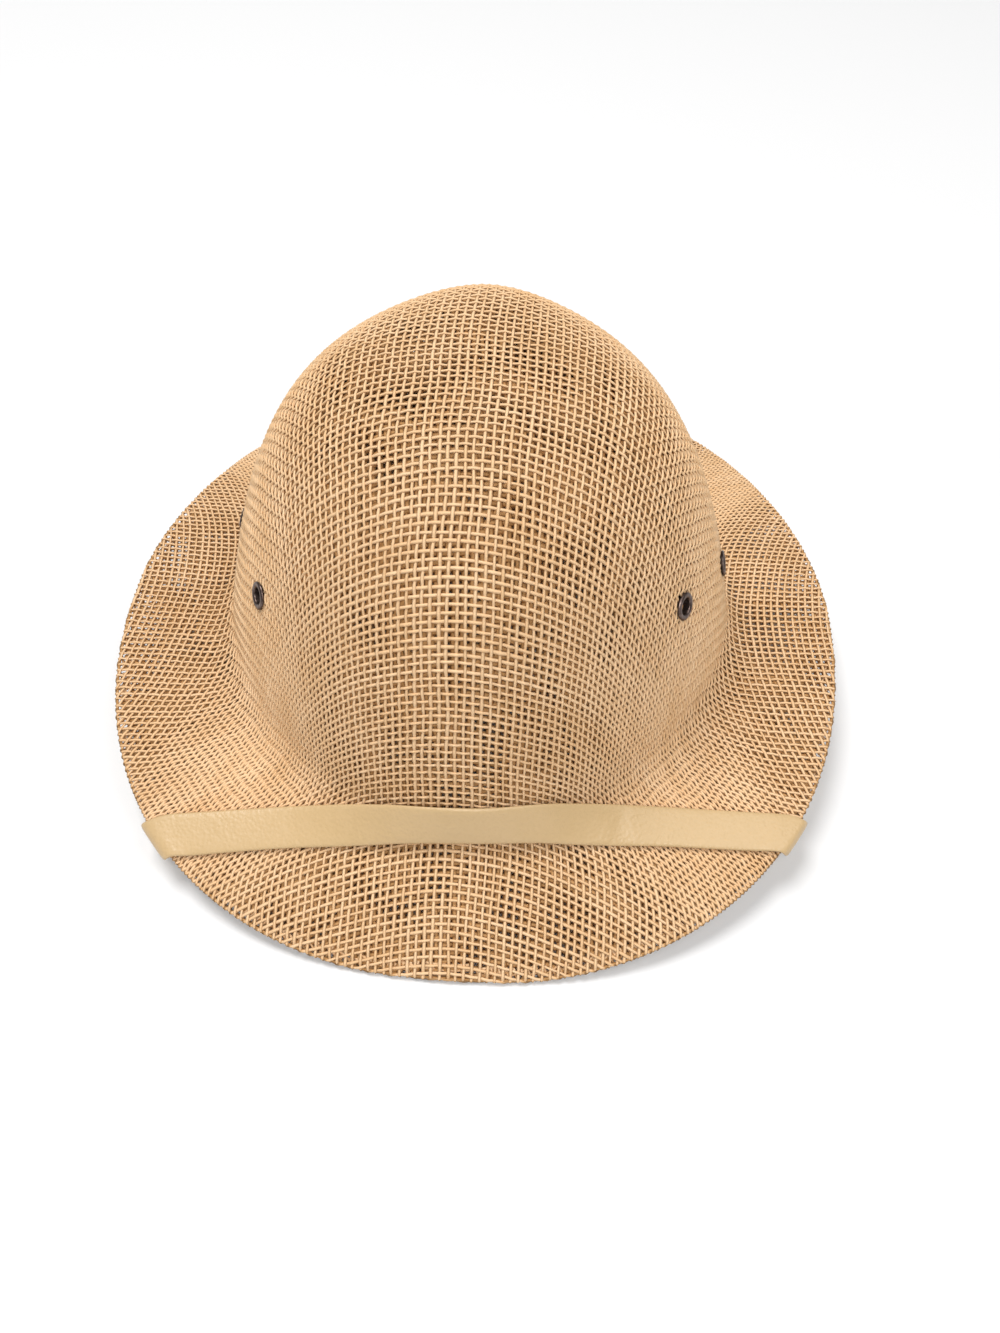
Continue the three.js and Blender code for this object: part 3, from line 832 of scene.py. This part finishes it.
class HELMET_OT_edge(bpy.types.Operator):
    """Lay the strand that runs along the brim's edge inside the fold"""
    bl_idname = "helmet.edge"
    bl_label = "Lay edge strand"

    def execute(self, context):
        weave = context.scene.helmet_weave
        bearing = np.linspace(0, 2 * math.pi, EDGE_STEPS + 1)
        centre, up, out = fold_axis(np.sin(bearing), np.cos(bearing), LAYER_THICKNESS / 2)
        width = weave.edge_strand / MM
        strands = StrandMesh(EDGE_SIDES, width, width)
        strands.add(centre + out * EDGE_STRAND_SHIFT, up, np.ones(len(bearing)), np.zeros(len(bearing)))
        piece = strands.build("straw_edge")
        # the inner layer's straw, darkened with painted shade, so the strand paints a dark line of shade
        # along the edge
        finish_piece(piece, bpy.data.materials["straw_inner_shaded"])
        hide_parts("shell")
        return {"FINISHED"}


class HELMET_OT_strap(bpy.types.Operator):
    """Finish the chin strap with soft corners and borders pressed lower than its middle"""
    bl_idname = "helmet.strap"
    bl_label = "Finish chin strap"

    def execute(self, context):
        fittings = context.scene.helmet_fittings
        piece = copy_of_node("chin_strap", "strap_band")
        bpy.ops.object.mode_set(mode="EDIT")
        mesh = bmesh.from_edit_mesh(piece.data)
        for face in mesh.faces:
            longest = max(edge.calc_length() for edge in face.edges)
            face.select = longest > STRAP_FACE_LENGTH * MM and len(face.verts) == 4
        bmesh.update_edit_mesh(piece.data)
        bpy.ops.mesh.inset(thickness=fittings.strap_border, depth=fittings.strap_padding,
                           use_boundary=True, use_even_offset=True)
        bpy.ops.object.mode_set(mode="OBJECT")
        subdivide = piece.modifiers.new("soft", "SUBSURF")
        subdivide.levels = 2
        subdivide.render_levels = 2
        lone(piece)
        bpy.ops.object.modifier_apply(modifier="soft")
        bpy.ops.object.shade_smooth()
        finish_piece(piece, strap_finish(context.scene.helmet_colours))
        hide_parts("chin_strap")
        return {"FINISHED"}


class HELMET_OT_eyelets(bpy.types.Operator):
    """Make the four vent eyelets, each a rolled flange, a barrel and a washer inside"""
    bl_idname = "helmet.eyelets"
    bl_label = "Make eyelets"

    def ring(self, outer, inner, flatness, height):
        thickness = (outer - inner) / 2
        bpy.ops.mesh.primitive_torus_add(
            major_radius=inner + thickness, minor_radius=thickness, major_segments=EYELET_SEGMENTS,
            minor_segments=RING_SEGMENTS, location=(0, 0, height))
        bpy.ops.transform.resize(value=(1, 1, flatness))
        bpy.ops.object.transform_apply(location=True, rotation=True, scale=True)
        return bpy.context.object

    def barrel(self, radius, top, bottom):
        bpy.ops.mesh.primitive_cylinder_add(
            vertices=EYELET_SEGMENTS, radius=radius, depth=top - bottom, end_fill_type="NOTHING",
            location=(0, 0, (top + bottom) / 2))
        tube = bpy.context.object
        wall = tube.modifiers.new("wall", "SOLIDIFY")
        wall.thickness = BARREL_WALL * MM
        wall.offset = 0
        bpy.ops.object.modifier_apply(modifier="wall")
        bpy.ops.object.transform_apply(location=True, rotation=True, scale=True)
        return tube

    def execute(self, context):
        fittings = context.scene.helmet_fittings
        bpy.ops.object.select_all(action="DESELECT")
        outer, hole = fittings.eyelet_radius, fittings.eyelet_hole
        parts = [
            self.ring(outer, hole, FLANGE_FLATNESS, FLANGE_RISE * MM),
            self.ring(outer - WASHER_INSET * MM, hole, WASHER_FLATNESS, -(WALL + WASHER_DROP) * MM),
            self.barrel(hole + BARREL_INSET * MM, BARREL_RISE * MM, -(WALL + BARREL_DROP) * MM),
        ]
        bpy.ops.object.select_all(action="DESELECT")
        for part in parts:
            part.select_set(True)
        bpy.context.view_layer.objects.active = parts[0]
        bpy.ops.object.join()
        pattern = bpy.context.object
        bpy.ops.object.shade_smooth_by_angle(angle=SMOOTH_ANGLE)
        material = eyelet_finish(context.scene.helmet_colours)
        for name, (seat, normal) in eyelet_axes().items():
            piece = bpy.data.objects.new(name.replace("eyelet", "vent"), pattern.data.copy())
            context.scene.collection.objects.link(piece)
            turn = Vector((0, 0, 1)).rotation_difference(Vector(normal)).to_matrix().to_4x4()
            seat_m = Vector((seat[0], seat[1] + CENTRE_Y, seat[2])) * MM
            piece.data.transform(Matrix.Translation(seat_m) @ turn)
            finish_piece(piece, material)
            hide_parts(name)
        bpy.data.objects.remove(pattern)
        return {"FINISHED"}


class HELMET_OT_stage(bpy.types.Operator):
    """Lay the floor, hang the lamps and place the camera at the photograph's angle"""
    bl_idname = "helmet.stage"
    bl_label = "Set the stage"

    def lamp(self, name, place, size, power):
        data = bpy.data.lights.new(name, "AREA")
        data.shape = "DISK"
        data.size = size
        data.energy = power
        lamp = bpy.data.objects.new(name, data)
        lamp.location = place
        lamp.rotation_euler = (Vector(LAMP_TARGET) - Vector(place)).to_track_quat("-Z", "Y").to_euler()
        bpy.context.scene.collection.objects.link(lamp)

    def execute(self, context):
        stage = context.scene.helmet_stage
        bpy.ops.object.select_all(action="DESELECT")
        bpy.ops.mesh.primitive_plane_add(size=stage.floor_size, location=(0, 0, 0))
        floor = bpy.context.object
        floor.name = "floor"
        paper = Finish("paper")
        paper.set(base_color=opaque(stage.floor_colour), roughness=0.9)
        floor.data.materials.append(paper.material)
        world = bpy.data.worlds.new("daylight")
        world.use_nodes = True
        sky = world.node_tree.nodes["Background"]
        sky.inputs["Color"].default_value = (1, 1, 1, 1)
        sky.inputs["Strength"].default_value = stage.daylight
        context.scene.world = world
        context.scene.view_settings.view_transform = "Standard"
        for name, lamp in LAMPS.items():
            self.lamp(name, lamp["place"], lamp["size"], stage.key_power * lamp["share"])
        data = bpy.data.cameras.new("camera")
        data.sensor_width = SENSOR
        data.lens = FOCAL_PIXELS * SENSOR / PHOTO_LONG_SIDE
        data.clip_start = 0.01
        camera = bpy.data.objects.new("camera", data)
        forward = Vector(CAMERA_FORWARD).normalized()
        turn = forward.to_track_quat("-Z", "Y").to_matrix()
        roll = Matrix.Rotation(CAMERA_ROLL, 3, -forward)
        camera.matrix_world = Matrix.Translation(Vector(CAMERA_PLACE) * MM) @ (roll @ turn).to_4x4()
        context.scene.collection.objects.link(camera)
        context.scene.camera = camera
        return {"FINISHED"}


class HELMET_PT_panel(bpy.types.Panel):
    """Steps that finish the helmet, in order"""
    bl_idname = "HELMET_PT_panel"
    bl_label = "Pith helmet"
    bl_space_type = "VIEW_3D"
    bl_region_type = "UI"
    bl_category = "Pith helmet"

    def draw(self, context):
        for group in GROUPS:
            box = self.layout.box()
            settings = getattr(context.scene, group)
            for name in settings.bl_rna.properties.keys():
                if name not in ("rna_type", "name"):
                    box.prop(settings, name)
        for step in STEPS:
            self.layout.operator(step.bl_idname)


GROUPS = {
    "helmet_weave": HelmetWeave,
    "helmet_colours": HelmetColours,
    "helmet_fittings": HelmetFittings,
    "helmet_stage": HelmetStage,
}
STEPS = (
    HELMET_OT_stage,
    HELMET_OT_weave_outer,
    HELMET_OT_weave_inner,
    HELMET_OT_edge,
    HELMET_OT_strap,
    HELMET_OT_eyelets,
)


def register():
    for group in GROUPS.values():
        bpy.utils.register_class(group)
    for name, group in GROUPS.items():
        setattr(bpy.types.Scene, name, bpy.props.PointerProperty(type=group))
    for step in STEPS:
        bpy.utils.register_class(step)
    bpy.utils.register_class(HELMET_PT_panel)


def unregister():
    bpy.utils.unregister_class(HELMET_PT_panel)
    for step in reversed(STEPS):
        bpy.utils.unregister_class(step)
    for name, group in GROUPS.items():
        delattr(bpy.types.Scene, name)
        bpy.utils.unregister_class(group)


def main():
    register()
    bpy.ops.helmet.stage()
    bpy.ops.helmet.weave_outer()
    bpy.ops.helmet.weave_inner()
    bpy.ops.helmet.edge()
    bpy.ops.helmet.strap()
    bpy.ops.helmet.eyelets()


if __name__ == "__main__":
    main()
